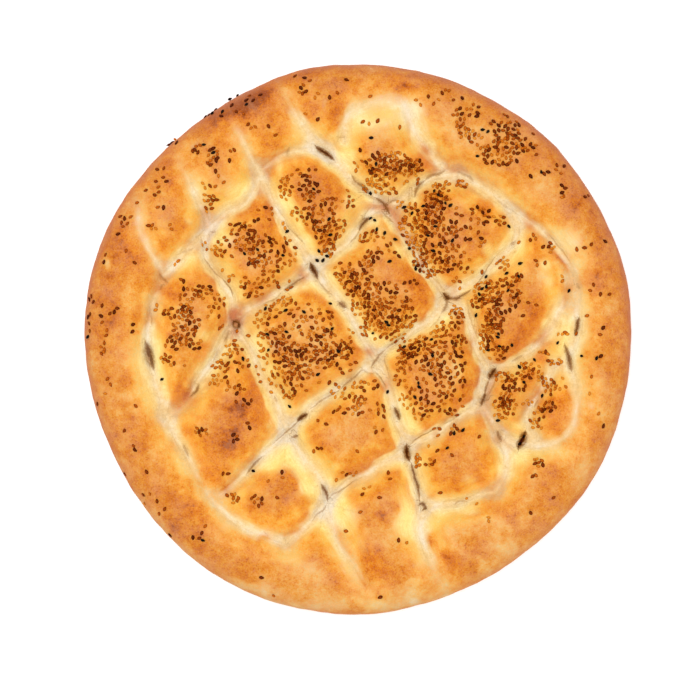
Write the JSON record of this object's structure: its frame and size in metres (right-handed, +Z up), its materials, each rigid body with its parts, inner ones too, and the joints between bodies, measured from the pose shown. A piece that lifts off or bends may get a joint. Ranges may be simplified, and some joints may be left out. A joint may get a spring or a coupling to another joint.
{
  "type": "round lattice-pressed flatbread",
  "caption": "Round leavened flatbread with a raised rim, a finger-pressed lattice of pillows and a topping of sesame and black cumin seeds.",
  "frame": {"origin": "middle of the flat underside", "axes": "+Z up out of the pressed top, +Y towards the top of the view from above, +X to its right"},
  "size_m": [0.2795, 0.2808, 0.0259],
  "materials": {
    "crust": "baked crust, satin, golden brown with cream grooves"
  },
  "bodies": {
    "root": {"pita_bread": "crust"}
  },
  "joints": []
}
